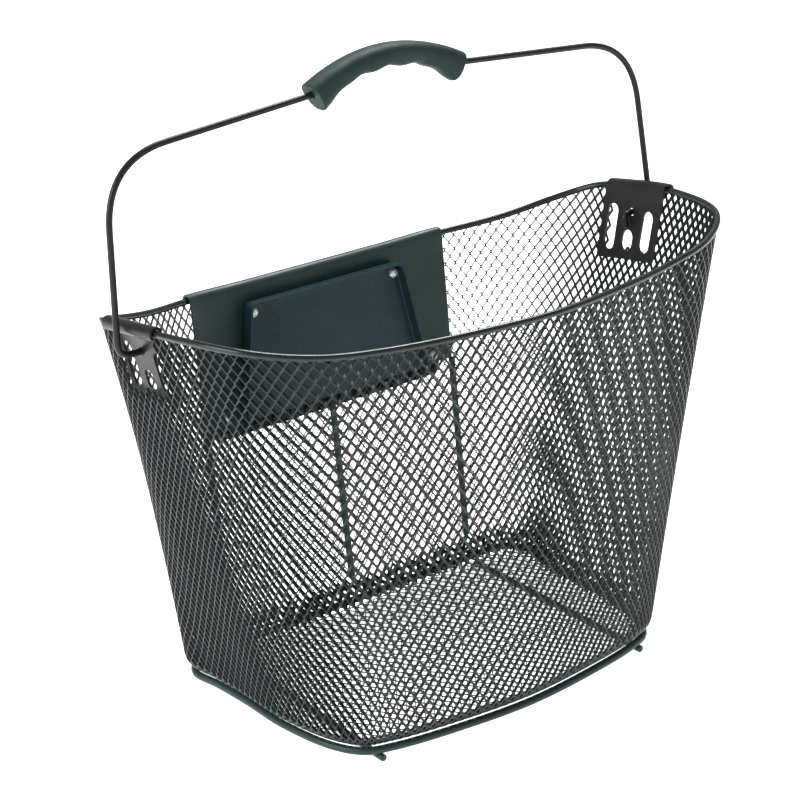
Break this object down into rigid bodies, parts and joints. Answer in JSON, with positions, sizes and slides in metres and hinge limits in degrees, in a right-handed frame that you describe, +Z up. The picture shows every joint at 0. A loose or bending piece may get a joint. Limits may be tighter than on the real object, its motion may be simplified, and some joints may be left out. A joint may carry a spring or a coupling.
{
  "type": "handlebar basket",
  "caption": "Fine-mesh steel bicycle handlebar basket with wire rim, rear quick-release adapter and a swinging bail handle with moulded grip.",
  "frame": {"origin": "centre of the whole basket's footprint, on the surface it stands on", "axes": "+Z up, +Y towards the rider and the mounting side, +X across to the basket's right seen from the front looking at the rider's side"},
  "size_m": [0.3596, 0.2406, 0.3574],
  "materials": {
    "green_paint": "dark green-black powder coat, semi-gloss",
    "tray_paint": "dark green-black powder coat, semi-gloss",
    "mesh_paint": "dark green-black powder coat over expanded mesh, satin",
    "dark_paint": "black powder coat, semi-gloss",
    "grip_plastic": "grey-green moulded plastic, satin",
    "adapter_plastic": "black moulded plastic, satin",
    "zinc": "bright zinc plate"
  },
  "bodies": {
    "basket": {"rim_wire": "green_paint", "floor_ring_wire": "green_paint", "floor_wire_left": "green_paint", "floor_wire_right": "green_paint", "rear_upright_left": "green_paint", "rear_upright_middle": "green_paint", "rear_upright_right": "green_paint", "mesh_wall_rear": "mesh_paint", "mesh_wall_front": "mesh_paint", "mesh_wall_left": "mesh_paint", "mesh_wall_right": "mesh_paint", "mesh_floor": "mesh_paint", "rear_plate": "green_paint", "backing_tray": "tray_paint", "quick_release_adapter": "adapter_plastic", "bolt_upper_left": "zinc", "nut_upper_left": "zinc", "bolt_upper_right": "zinc", "nut_upper_right": "zinc", "bolt_lower_left": "zinc", "nut_lower_left": "zinc", "bolt_lower_right": "zinc", "nut_lower_right": "zinc", "side_plate_left": "dark_paint", "side_plate_right": "dark_paint"},
    "bail": {"bail_wire": "dark_paint", "grip": "grip_plastic"}
  },
  "joints": [
    {"name": "bail_hinge", "type": "hinge", "parent": "basket", "child": "bail", "pos_m": [0, 0.00906, 0.22985], "axis": [1, 0, 0], "range_deg": [-88, 83]}
  ]
}
